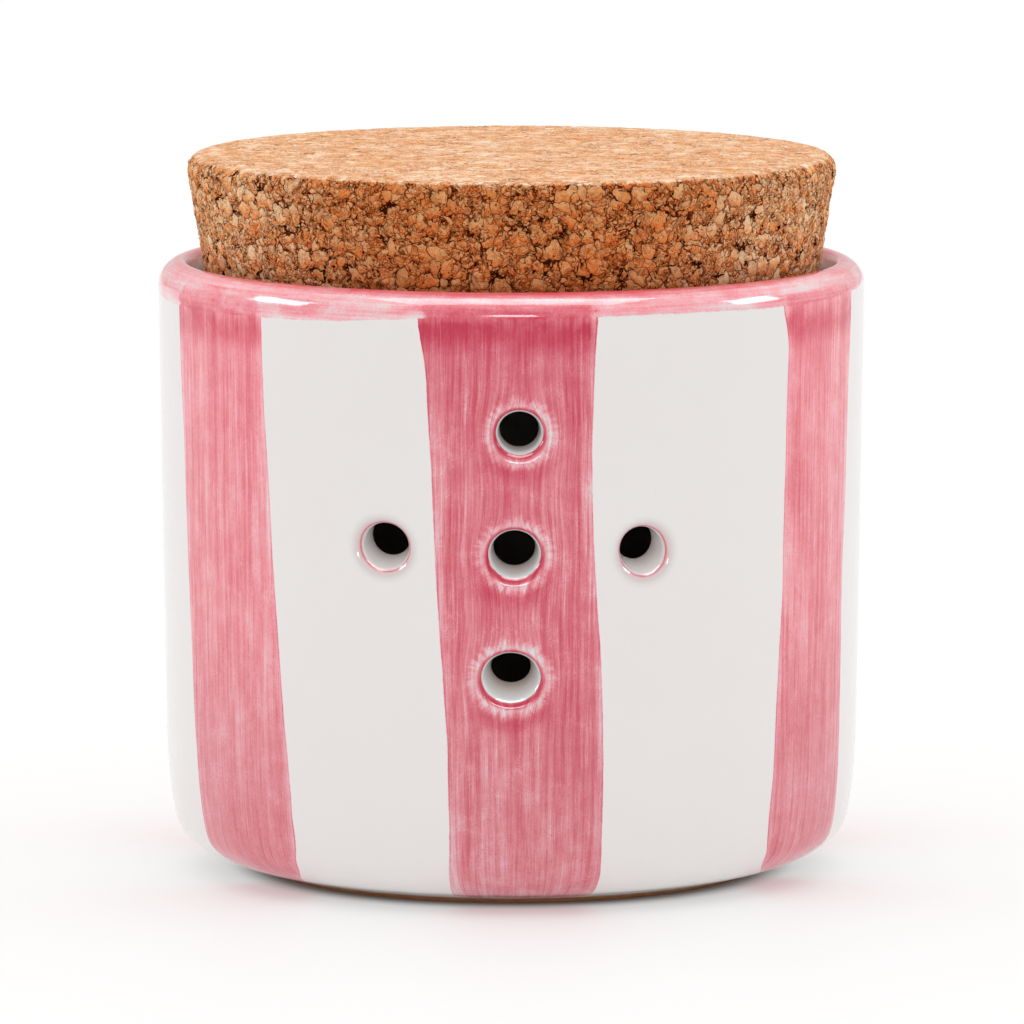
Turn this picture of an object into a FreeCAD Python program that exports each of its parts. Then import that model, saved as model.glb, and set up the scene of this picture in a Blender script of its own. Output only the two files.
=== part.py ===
import FreeCAD, Part
import math
import os

# Garlic keeper: a small glazed stoneware jar with five vent holes in its
# front wall, closed by a tapered cork lid that wedges in the mouth.
# Millimetres. +Z is up, the jar's axis is Z, the floor is z = 0 and the vents
# face -Y.

V = FreeCAD.Vector

# ---------------------------------------------------------------- dimensions
# jar, outside
RIM_TOP_Z = 103.95        # crest of the lip
RIM_CREST_R = 56.01       # radius of the crest
WALL_TOP_R = 60.00        # outer radius where the lip's rounding starts
WALL_TOP_Z = 99.56
WALL_LOW_R = 58.96        # outer radius where the heel's rounding starts
WALL_LOW_Z = 30.0
# heel: the wall rounds under towards the foot ring, (radius, height)
HEEL = [(58.78, 22.0), (58.45, 16.5), (57.95, 12.2), (57.35, 9.2), (56.48, 7.15), (54.95, 5.52),
        (52.65, 3.98), (49.66, 2.62), (46.80, 1.80)]
HEEL_END_R = 44.6         # the flat of the underside, just outside the foot ring
HEEL_END_Z = 1.22
# foot ring, bare clay
FOOT_OUT_R = 41.9
FOOT_IN_R = 36.4
FOOT_EDGE = 0.45          # rounding of the ring's outer lower edge
FOOT_IN_EDGE = 0.70       # and of its inner one
RECESS_Z = 1.70           # height of the recessed base inside the foot ring
RECESS_MID_Z = 2.10       # the recess is slightly domed
# jar, inside
LIP_IN_R = 54.75          # inner edge of the lip, below its small rounding
LIP_IN_Z = 102.45
SEAT_TOP_Z = 96.9         # conical land that the cork wedges against
SEAT_LOW_Z = 93.1
SEAT_GAP = 0.10           # radial gap left between land and cork
UNDER_SEAT_Z = 86.2       # the seat ring blends back into the wall here
INNER_TOP_R = 54.42       # inner radius just under the seat ring
INNER_LOW_R = 53.66       # inner radius just above the floor's rounding
FLOOR_Z = 7.0
FLOOR_FILLET = 9.6

# vent holes: (name, azimuth of the hole's middle on the outer wall in degrees,
# + towards +X, height of that middle, azimuth of the piercing direction,
# upward slope of the piercing direction going inwards, half width 6 mm in from
# the outer wall, half width at the outer wall, height as a part of the width,
# rounding of the outer edge)
VENTS = [
    ("top",      1.30, 81.05,   1.2,  5.1, 3.10, 3.68, 0.94, 2.2),
    ("middle",   0.50, 60.80,   0.5, 14.0, 3.23, 4.18, 0.90, 2.2),
    ("bottom",  -0.10, 40.50,  -0.1, 20.0, 2.85, 4.93, 0.77, 2.2),
    ("left",   -20.75, 61.57, -14.0, 18.5, 3.18, 4.15, 0.86, 2.0),
    ("right",   21.70, 60.75,  22.8, 21.5, 3.10, 3.92, 0.90, 2.0),
]
VENT_INNER_EDGE = 0.6     # rounding of the holes' inner edges

# cork lid
CORK_TOP_Z = 121.86
CORK_BOTTOM_Z = 91.86
CORK_R = 55.20            # radius of the taper at CORK_R_Z
CORK_R_Z = 118.9
CORK_TAPER = 0.1651       # radius lost per millimetre going down
CORK_TOP_EDGE = 2.6       # rounding of the top edge
CORK_BOTTOM_EDGE = 1.2    # rounding of the bottom edge


def cork_radius(z):
    return CORK_R - (CORK_R_Z - z) * CORK_TAPER


def seat_radius(z):
    return cork_radius(z) + SEAT_GAP


def p(r, z):
    return V(r, 0, z)


def line(a, b):
    return Part.LineSegment(a, b).toShape()


def spline(points, start=None, end=None):
    c = Part.BSplineCurve()
    if start is not None:
        c.interpolate(Points=points, InitialTangent=start, FinalTangent=end)
    else:
        c.interpolate(Points=points)
    return c.toShape()


def arc(a, m, b):
    return Part.Arc(a, m, b).toShape()


def quarter(oval, a, b):
    # the quarter of an ellipse or circle from a to b
    t, u = oval.parameter(a), oval.parameter(b)
    turn = 2 * math.pi
    if (u - t) % turn > math.pi:
        t, u = u, t
    return oval.toShape(t, t + (u - t) % turn)


# ----------------------------------------------------------------------- jar
def jar_profile():
    edges = []
    # underside recess, from the axis out to the foot ring
    edges.append(line(p(0, RECESS_MID_Z), p(12, RECESS_MID_Z)))
    edges.append(spline([p(12, RECESS_MID_Z), p(24, RECESS_MID_Z - 0.13), p(34.2, RECESS_Z)],
                        V(1, 0, 0), V(1, 0, -0.07)))
    # the inner corner of the foot ring is rounded
    edges.append(spline([p(34.2, RECESS_Z), p(35.75, RECESS_Z - 0.35), p(FOOT_IN_R, FOOT_IN_EDGE)],
                        V(1, 0, -0.07), V(0, 0, -1)))
    k = FOOT_IN_EDGE * (1 - math.sqrt(0.5))
    edges.append(arc(p(FOOT_IN_R, FOOT_IN_EDGE), p(FOOT_IN_R + k, k), p(FOOT_IN_R + FOOT_IN_EDGE, 0)))
    # the land the jar stands on
    edges.append(line(p(FOOT_IN_R + FOOT_IN_EDGE, 0), p(FOOT_OUT_R - FOOT_EDGE, 0)))
    k = FOOT_EDGE * (1 - math.sqrt(0.5))
    edges.append(arc(p(FOOT_OUT_R - FOOT_EDGE, 0), p(FOOT_OUT_R - k, k), p(FOOT_OUT_R, FOOT_EDGE)))
    # outside of the foot ring, turning into the underside of the heel
    edges.append(spline([p(FOOT_OUT_R, FOOT_EDGE), p(FOOT_OUT_R + 0.75, 1.0), p(HEEL_END_R, HEEL_END_Z)],
                        V(0.08, 0, 1), V(1, 0, 0.16)))
    # heel
    heel = [p(r, z) for r, z in [(WALL_LOW_R, WALL_LOW_Z)] + HEEL + [(HEEL_END_R, HEEL_END_Z)]][::-1]
    taper = (WALL_TOP_R - WALL_LOW_R) / (WALL_TOP_Z - WALL_LOW_Z)
    edges.append(spline(heel, V(1, 0, 0.16), V(taper, 0, 1)))
    # wall
    edges.append(line(p(WALL_LOW_R, WALL_LOW_Z), p(WALL_TOP_R, WALL_TOP_Z)))
    # lip: outer rounding, crest, inner rounding
    a, b = WALL_TOP_R - RIM_CREST_R, RIM_TOP_Z - WALL_TOP_Z
    oval = Part.Ellipse(p(RIM_CREST_R, WALL_TOP_Z + b), p(WALL_TOP_R, WALL_TOP_Z), p(RIM_CREST_R, WALL_TOP_Z))
    edges.append(quarter(oval, p(WALL_TOP_R, WALL_TOP_Z), p(RIM_CREST_R, RIM_TOP_Z)))
    ri, rz = RIM_CREST_R - LIP_IN_R, RIM_TOP_Z - LIP_IN_Z
    edges.append(spline([p(RIM_CREST_R, RIM_TOP_Z),
                         p(LIP_IN_R + ri * 0.33, RIM_TOP_Z - rz * 0.33),
                         p(LIP_IN_R, LIP_IN_Z)],
                        V(-1, 0, 0), V(-0.22, 0, -1)))
    # flared mouth, down to the seat land
    down = V(-CORK_TAPER, 0, -1)
    edges.append(spline([p(LIP_IN_R, LIP_IN_Z),
                         p(LIP_IN_R * 0.45 + seat_radius(SEAT_TOP_Z) * 0.55, LIP_IN_Z * 0.45 + SEAT_TOP_Z * 0.55),
                         p(seat_radius(SEAT_TOP_Z), SEAT_TOP_Z)],
                        V(-0.22, 0, -1), down))
    edges.append(line(p(seat_radius(SEAT_TOP_Z), SEAT_TOP_Z), p(seat_radius(SEAT_LOW_Z), SEAT_LOW_Z)))
    # underside of the seat ring, back out to the wall
    inner = V(INNER_LOW_R - INNER_TOP_R, 0, FLOOR_Z + FLOOR_FILLET - UNDER_SEAT_Z)
    inner.normalize()
    edges.append(spline([p(seat_radius(SEAT_LOW_Z), SEAT_LOW_Z),
                         p(51.50, 90.85),
                         p(53.65, 88.55),
                         p(INNER_TOP_R, UNDER_SEAT_Z)],
                        down, inner))
    edges.append(line(p(INNER_TOP_R, UNDER_SEAT_Z), p(INNER_LOW_R, FLOOR_Z + FLOOR_FILLET)))
    # floor rounding and floor
    c = FLOOR_FILLET
    k = c * math.sqrt(0.5)
    edges.append(arc(p(INNER_LOW_R, FLOOR_Z + c), p(INNER_LOW_R - c + k, FLOOR_Z + c - k), p(INNER_LOW_R - c, FLOOR_Z)))
    edges.append(line(p(INNER_LOW_R - c, FLOOR_Z), p(0, FLOOR_Z)))
    edges.append(line(p(0, FLOOR_Z), p(0, RECESS_MID_Z)))
    return Part.Wire(edges)


def wall_radius(z):
    return WALL_LOW_R + (WALL_TOP_R - WALL_LOW_R) * (z - WALL_LOW_Z) / (WALL_TOP_Z - WALL_LOW_Z)


def inner_radius(z):
    return INNER_LOW_R + (INNER_TOP_R - INNER_LOW_R) * (z - FLOOR_Z - FLOOR_FILLET) / (UNDER_SEAT_Z - FLOOR_Z - FLOOR_FILLET)


def vent_cutter(az, z, dir_az, slope, r_in, r_out, flat):
    a, d, s = math.radians(az), math.radians(dir_az), math.radians(slope)
    r = wall_radius(z)
    mid = V(r * math.sin(a), -r * math.cos(a), z)
    inward = V(-math.sin(d) * math.cos(s), math.cos(d) * math.cos(s), math.sin(s))
    side = inward.cross(V(0, 0, 1))
    side.normalize()
    up = side.cross(inward)
    # a cone with an oval section, made of four quarters so that no face of
    # the hole closes on itself
    rings = []
    for t in (-4.0, 9.0):
        c = mid + inward * t
        half = r_out + (r_in - r_out) * t / 6.0
        oval = Part.Ellipse(c + side * half, c + up * half * flat, c)
        rings.append(Part.Wire([oval.toShape(k * math.pi / 2, (k + 1) * math.pi / 2) for k in range(4)]))
    return Part.makeLoft(rings, True, True), mid


def on_wall(edge, mid, radius_at):
    # does the edge lie on a wall, near the hole?
    first, last = edge.ParameterRange
    for k in range(5):
        q = edge.valueAt(first + (last - first) * k / 4.0)
        if abs(math.hypot(q.x, q.y) - radius_at(q.z)) > 0.01 or (q - mid).Length > 9.0:
            return False
    return True


def make_jar():
    face = Part.Face(jar_profile())
    body = face.revolve(V(0, 0, 0), V(0, 0, 1), 360)
    if not isinstance(body, Part.Solid):
        body = Part.Solid(body.Shells[0]) if body.Shells else body
    cutters = []
    for name, az, z, dir_az, slope, r_in, r_out, flat, edge in VENTS:
        c, mid = vent_cutter(az, z, dir_az, slope, r_in, r_out, flat)
        cutters.append((c, mid, edge))
    for c, mid, edge in cutters:
        body = body.cut(c)
    solid = body.Solids[0]
    # round both edges of every hole
    for c, mid, edge in cutters:
        for radius, radius_at in ((edge, wall_radius), (VENT_INNER_EDGE, inner_radius)):
            near = [e for e in solid.Edges if e.Length < 12 and on_wall(e, mid, radius_at)]
            print("rounding", radius, "of", len(near), "edges")
            solid = solid.makeFillet(radius, near)
            solid = solid.Solids[0]
    return solid


# ------------------------------------------------------------------ cork lid
def make_cork():
    # a tapered disc with both edges rounded
    slope = math.atan(CORK_TAPER)
    r_top = cork_radius(CORK_TOP_Z)
    r_low = cork_radius(CORK_BOTTOM_Z)
    disc = Part.makeCone(r_low, r_top, CORK_TOP_Z - CORK_BOTTOM_Z, V(0, 0, CORK_BOTTOM_Z), V(0, 0, 1))
    top = [e for e in disc.Edges if e.BoundBox.ZMin > CORK_TOP_Z - 0.01]
    disc = disc.makeFillet(CORK_TOP_EDGE, top)
    low = [e for e in disc.Edges if e.BoundBox.ZMax < CORK_BOTTOM_Z + 0.01]
    disc = disc.makeFillet(CORK_BOTTOM_EDGE, low)
    return disc.Solids[0]


os.makedirs("parts", exist_ok=True)
jar = make_jar()
cork_lid = make_cork()

for name, shape in (("jar", jar), ("cork_lid", cork_lid)):
    bb = shape.BoundBox
    print(name, "valid", shape.isValid(), "closed", shape.isClosed(),
          "solids", len(shape.Solids), "faces", len(shape.Faces),
          "volume cm3 %.2f" % (shape.Volume / 1000.0),
          "box %.2f %.2f %.2f to %.2f %.2f %.2f" % (bb.XMin, bb.YMin, bb.ZMin, bb.XMax, bb.YMax, bb.ZMax))
    shape.exportStep("parts/%s.step" % name)
print("overlap of the two, mm3: %.5f" % jar.common(cork_lid).Volume)
print("distance between the two, mm: %.4f" % jar.distToShape(cork_lid)[0])
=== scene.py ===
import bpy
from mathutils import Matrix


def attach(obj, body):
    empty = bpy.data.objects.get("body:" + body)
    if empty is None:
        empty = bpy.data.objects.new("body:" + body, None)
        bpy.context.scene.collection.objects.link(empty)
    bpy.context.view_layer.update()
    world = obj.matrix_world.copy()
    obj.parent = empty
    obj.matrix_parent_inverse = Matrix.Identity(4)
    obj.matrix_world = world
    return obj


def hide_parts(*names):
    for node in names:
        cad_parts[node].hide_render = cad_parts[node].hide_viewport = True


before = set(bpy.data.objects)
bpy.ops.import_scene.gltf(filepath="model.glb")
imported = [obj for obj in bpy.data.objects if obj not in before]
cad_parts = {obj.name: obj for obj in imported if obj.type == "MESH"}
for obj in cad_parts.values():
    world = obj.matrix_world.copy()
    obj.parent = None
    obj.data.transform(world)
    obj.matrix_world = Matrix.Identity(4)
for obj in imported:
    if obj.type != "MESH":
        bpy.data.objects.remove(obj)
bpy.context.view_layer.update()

import math

import bpy
import numpy as np
from mathutils import Vector

MM = 0.001
scene = bpy.context.scene
scene.view_settings.view_transform = "Standard"
scene.view_settings.look = "None"
scene.view_settings.exposure = 0.0
scene.view_settings.gamma = 1.0


# =====================================================================
# camera
# =====================================================================
cam = bpy.data.cameras.new("camera")
cam.sensor_width = 36.0
cam.lens = 351.7
cam.clip_start = 0.05
cam.clip_end = 30.0
cam.dof.use_dof = False
cam_ob = bpy.data.objects.new("camera", cam)
cam_ob.location = (0.00008, -1.6898, 0.27666)
cam_ob.rotation_euler = (math.radians(90.0 - 7.291), 0.0, 0.0)
scene.collection.objects.link(cam_ob)
scene.camera = cam_ob


# =====================================================================
# helpers
# =====================================================================
def lin(r, g, b):
    """An sRGB colour, 0 to 255, as linear RGBA."""
    out = []
    for c in (r, g, b):
        c = c / 255.0
        out.append(c / 12.92 if c <= 0.04045 else ((c + 0.055) / 1.055) ** 2.4)
    return (out[0], out[1], out[2], 1.0)


class Nodes:
    """Writes a node tree as expressions. Works in shader and geometry trees."""

    def __init__(self, tree):
        self.tree = tree

    def new(self, kind, **props):
        node = self.tree.nodes.new(kind)
        for k, v in props.items():
            setattr(node, k, v)
        return node

    def put(self, socket, value):
        if value is None:
            return
        if isinstance(value, bpy.types.NodeSocket):
            self.tree.links.new(value, socket)
        else:
            socket.default_value = value

    def m(self, op, a, b=None, c=None, clamp=False):
        node = self.new("ShaderNodeMath", operation=op, use_clamp=clamp)
        for socket, value in zip(node.inputs, (a, b, c)):
            self.put(socket, value)
        return node.outputs[0]

    def add(self, *terms):
        out = terms[0]
        for t in terms[1:]:
            out = self.m("ADD", out, t)
        return out

    def sub(self, a, b):
        return self.m("SUBTRACT", a, b)

    def mul(self, *terms):
        out = terms[0]
        for t in terms[1:]:
            out = self.m("MULTIPLY", out, t)
        return out

    def mad(self, a, b, c):
        return self.m("MULTIPLY_ADD", a, b, c)

    def vm(self, op, a, b=None, scale=None):
        node = self.new("ShaderNodeVectorMath", operation=op)
        self.put(node.inputs[0], a)
        if b is not None:
            self.put(node.inputs[1], b)
        if scale is not None:
            self.put(node.inputs["Scale"], scale)
        return node.outputs["Value"] if op in ("DOT_PRODUCT", "LENGTH", "DISTANCE") else node.outputs[0]

    def xyz(self, x, y, z):
        node = self.new("ShaderNodeCombineXYZ")
        for socket, value in zip(node.inputs, (x, y, z)):
            self.put(socket, value)
        return node.outputs[0]

    def split(self, v):
        node = self.new("ShaderNodeSeparateXYZ")
        self.put(node.inputs[0], v)
        return node.outputs[0], node.outputs[1], node.outputs[2]

    def step(self, x, lo, hi, a=0.0, b=1.0, smooth=True):
        node = self.new("ShaderNodeMapRange", clamp=True)
        node.interpolation_type = "SMOOTHSTEP" if smooth else "LINEAR"
        for name, value in (("Value", x), ("From Min", lo), ("From Max", hi), ("To Min", a), ("To Max", b)):
            self.put(node.inputs[name], value)
        return node.outputs[0]

    def hump(self, x, lo, peak, hi):
        """0 outside lo..hi, 1 at peak."""
        return self.mul(self.step(x, lo, peak), self.step(x, peak, hi, 1.0, 0.0))

    def noise(self, v, scale=1.0, detail=2.0, rough=0.5, distortion=0.0, colour=False):
        node = self.new("ShaderNodeTexNoise", noise_dimensions="3D")
        self.put(node.inputs["Vector"], v)
        node.inputs["Scale"].default_value = scale
        node.inputs["Detail"].default_value = detail
        node.inputs["Roughness"].default_value = rough
        node.inputs["Distortion"].default_value = distortion
        return node.outputs[1] if colour else node.outputs[0]

    def n1(self, v, scale=1.0, detail=2.0, rough=0.5, distortion=0.0):
        """Noise from about -1 to 1."""
        return self.mad(self.noise(v, scale, detail, rough, distortion), 2.0, -1.0)

    def cells(self, v, scale, feature="F1", randomness=1.0):
        node = self.new("ShaderNodeTexVoronoi", voronoi_dimensions="3D", feature=feature)
        self.put(node.inputs["Vector"], v)
        node.inputs["Scale"].default_value = scale
        node.inputs["Randomness"].default_value = randomness
        return node

    def mix(self, fac, a, b, blend="MIX"):
        node = self.new("ShaderNodeMix", data_type="RGBA", blend_type=blend, clamp_factor=True)
        self.put(node.inputs[0], fac)
        self.put(node.inputs[6], a)
        self.put(node.inputs[7], b)
        return node.outputs[2]

    def fmix(self, fac, a, b):
        node = self.new("ShaderNodeMix", data_type="FLOAT", clamp_factor=True)
        self.put(node.inputs[0], fac)
        self.put(node.inputs[2], a)
        self.put(node.inputs[3], b)
        return node.outputs[0]

    def ramp(self, fac, stops, mode="LINEAR"):
        node = self.new("ShaderNodeValToRGB")
        cr = node.color_ramp
        cr.interpolation = mode
        while len(cr.elements) < len(stops):
            cr.elements.new(0.5)
        for e, (at, colour) in zip(cr.elements, stops):
            e.position = at
            e.color = colour
        self.put(node.inputs[0], fac)
        return node.outputs[0]

    def attr(self, name, vector=False):
        node = self.new("ShaderNodeAttribute", attribute_name=name)
        return node.outputs["Vector"] if vector else node.outputs["Fac"]


def new_material(name):
    mat = bpy.data.materials.new(name)
    mat.use_nodes = True
    mat.node_tree.nodes.clear()
    g = Nodes(mat.node_tree)
    bsdf = g.new("ShaderNodeBsdfPrincipled")
    out = g.new("ShaderNodeOutputMaterial")
    mat.node_tree.links.new(bsdf.outputs[0], out.inputs[0])
    return mat, g, bsdf


def object_mm(g):
    """Object coordinates in millimetres."""
    tc = g.new("ShaderNodeTexCoord")
    return g.vm("SCALE", tc.outputs["Object"], scale=1000.0)


def mesh_object(name, verts_mm, faces, fields=None, vectors=None):
    me = bpy.data.meshes.new(name)
    co = np.asarray(verts_mm, float) * MM
    me.from_pydata([tuple(p) for p in co], [], faces)
    me.update()
    me.polygons.foreach_set("use_smooth", np.ones(len(me.polygons), bool))
    for key, values in (fields or {}).items():
        a = me.attributes.new(key, "FLOAT", "POINT")
        a.data.foreach_set("value", np.asarray(values, np.float32))
    for key, values in (vectors or {}).items():
        a = me.attributes.new(key, "FLOAT_VECTOR", "POINT")
        a.data.foreach_set("vector", np.asarray(values, np.float32).ravel())
    ob = bpy.data.objects.new(name, me)
    scene.collection.objects.link(ob)
    return ob


def smooth01(t):
    t = np.clip(t, 0.0, 1.0)
    return t * t * (3 - 2 * t)


def spaced(a, b, n):
    """n points after a, ending on b."""
    return [(a[0] + (b[0] - a[0]) * k / n, a[1] + (b[1] - a[1]) * k / n) for k in range(1, n + 1)]


def arc_points(centre, r_h, r_v, a0, a1, n):
    """n points after the start of an elliptic arc, angles in degrees."""
    out = []
    for k in range(1, n + 1):
        t = math.radians(a0 + (a1 - a0) * k / n)
        out.append((centre[0] + r_h * math.cos(t), centre[1] + r_v * math.sin(t)))
    return out


# =====================================================================
# jar: dimensions, millimetres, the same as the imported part's
# =====================================================================
WALL_TOP = (60.00, 99.56)
WALL_LOW = (58.96, 30.0)
CREST = (56.01, 103.95)
INNER_TOP = (54.42, 86.2)
INNER_LOW = (53.66, 16.6)
FLOOR_Z = 7.0
FLOOR_FILLET = 9.6
VENTS = [
    # azimuth, height, piercing azimuth, slope, half width 6 mm in, half width at the wall, height as part of width, edge rounding
    (1.30, 81.05, 1.2, 5.1, 3.10, 3.68, 0.94, 2.2),
    (0.50, 60.80, 0.5, 14.0, 3.23, 4.18, 0.90, 2.2),
    (-0.10, 40.50, -0.1, 20.0, 2.85, 4.93, 0.77, 2.2),
    (-20.75, 61.57, -14.0, 18.5, 3.18, 4.15, 0.86, 2.0),
    (21.70, 60.75, 22.8, 21.5, 3.10, 3.92, 0.90, 2.0),
]
VENT_INNER_EDGE = 0.6

# underside recess, foot ring and heel: points of the profile (radius, height)
RECESS = [(3, 2.1), (6, 2.1), (9, 2.1), (12.0, 2.1), (14.467, 2.09), (16.935, 2.065), (19.402, 2.031),
          (21.869, 1.996), (24.336, 1.967), (26.803, 1.942), (29.27, 1.905), (31.736, 1.833), (34.2, 1.7),
          (34.569, 1.659), (34.934, 1.587), (35.293, 1.49), (35.648, 1.381), (36.001, 1.265),
          (36.299, 1.051), (36.4, 0.7)]
FOOT_OUT = [(41.998, 0.728), (42.236, 0.902), (42.524, 0.98), (42.819, 1.023), (43.116, 1.058),
            (43.413, 1.086), (43.711, 1.113), (44.008, 1.142), (44.304, 1.177), (44.6, 1.22)]
HEEL = [(45.333, 1.372), (46.054, 1.574), (46.771, 1.791), (47.492, 1.995), (48.215, 2.19), (48.936, 2.392),
        (49.65, 2.617), (50.353, 2.875), (51.043, 3.166), (51.72, 3.486), (52.384, 3.833), (53.036, 4.202),
        (53.673, 4.595), (54.292, 5.017), (54.888, 5.47), (55.455, 5.959), (55.979, 6.494), (56.437, 7.085),
        (56.809, 7.735), (57.1, 8.424), (57.332, 9.136), (57.522, 9.861), (57.68, 10.593), (57.814, 11.33),
        (57.931, 12.069), (58.037, 12.811), (58.136, 13.553), (58.227, 14.296), (58.31, 15.041),
        (58.385, 15.786), (58.453, 16.532), (58.513, 17.278), (58.568, 18.025), (58.617, 18.772),
        (58.661, 19.52), (58.701, 20.268), (58.738, 21.016), (58.77, 21.764), (58.8, 22.513),
        (58.826, 23.261), (58.849, 24.01), (58.869, 24.758), (58.886, 25.507), (58.9, 26.256),
        (58.914, 27.005), (58.926, 27.753), (58.937, 28.502), (58.949, 29.251), (58.96, 30.0)]
LIP_IN = [(55.747, 103.92), (55.504, 103.816), (55.305, 103.642), (55.148, 103.428), (55.016, 103.198),
          (54.906, 102.957), (54.817, 102.707), (54.75, 102.45)]
MOUTH = [(54.551, 101.765), (54.263, 101.111), (53.899, 100.497), (53.48, 99.919), (53.028, 99.366),
         (52.574, 98.815), (52.165, 98.23), (51.852, 97.589), (51.668, 96.9)]
UNDER_SEAT = [(51.006, 92.564), (51.064, 92.031), (51.202, 91.511), (51.411, 91.017), (51.686, 90.555),
              (52.014, 90.13), (52.379, 89.735), (52.766, 89.362), (53.164, 89.001), (53.559, 88.637),
              (53.929, 88.247), (54.204, 87.787), (54.35, 87.271), (54.409, 86.737), (54.42, 86.2)]

rows = [(0.0, 2.1)] + RECESS
rows += arc_points((37.1, 0.7), 0.7, 0.7, 180, 270, 4)
rows += spaced((37.1, 0.0), (41.45, 0.0), 4)
rows += arc_points((41.45, 0.45), 0.45, 0.45, 270, 360, 4)
rows += FOOT_OUT + HEEL
i_wall0 = len(rows) - 1
rows += spaced(WALL_LOW, WALL_TOP, 70)
i_wall1 = len(rows) - 1
rows += arc_points((CREST[0], WALL_TOP[1]), WALL_TOP[0] - CREST[0], CREST[1] - WALL_TOP[1], 0, 90, 22)
i_crest = len(rows) - 1
rows += LIP_IN + MOUTH + spaced((51.668, 96.9), (51.04, 93.1), 5) + UNDER_SEAT
i_in0 = len(rows) - 1
rows += spaced(INNER_TOP, INNER_LOW, 58)
i_in1 = len(rows) - 1
rows += arc_points((INNER_LOW[0] - FLOOR_FILLET, FLOOR_Z + FLOOR_FILLET), FLOOR_FILLET, FLOOR_FILLET, 0, -90, 14)
rows += spaced((INNER_LOW[0] - FLOOR_FILLET, FLOOR_Z), (0.0, FLOOR_Z), 15)
rows = np.array(rows)
NR = len(rows)
arc_len = np.r_[0, np.cumsum(np.hypot(*np.diff(rows, axis=0).T))]
crest_s_row = arc_len[i_crest] - arc_len          # + outside, - inside

NC = 288
COL = 360.0 / NC
az_cols = -180.0 + COL * np.arange(NC)
R0 = 59.5
DEG = math.pi / 180.0


def wall_radius(z):
    return WALL_LOW[0] + (WALL_TOP[0] - WALL_LOW[0]) * (z - WALL_LOW[1]) / (WALL_TOP[1] - WALL_LOW[1])


def inner_radius(z):
    return INNER_LOW[0] + (INNER_TOP[0] - INNER_LOW[0]) * (z - INNER_LOW[1]) / (INNER_TOP[1] - INNER_LOW[1])


PW, PH = 12, 15          # cells of the wall that each vent's patch takes up
PN = 2 * (PW + PH)


def boundary(row_of, j0):
    """The patch's boundary as (row, column), anticlockwise from the lower left as seen from outside. row_of(k) is the k-th row up."""
    out = [(row_of(0), j0 + c) for c in range(PW)]
    out += [(row_of(k), j0 + PW) for k in range(PH)]
    out += [(row_of(PH), j0 + PW - c) for c in range(PW)]
    out += [(row_of(PH - k), j0) for k in range(PH)]
    return out


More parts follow.
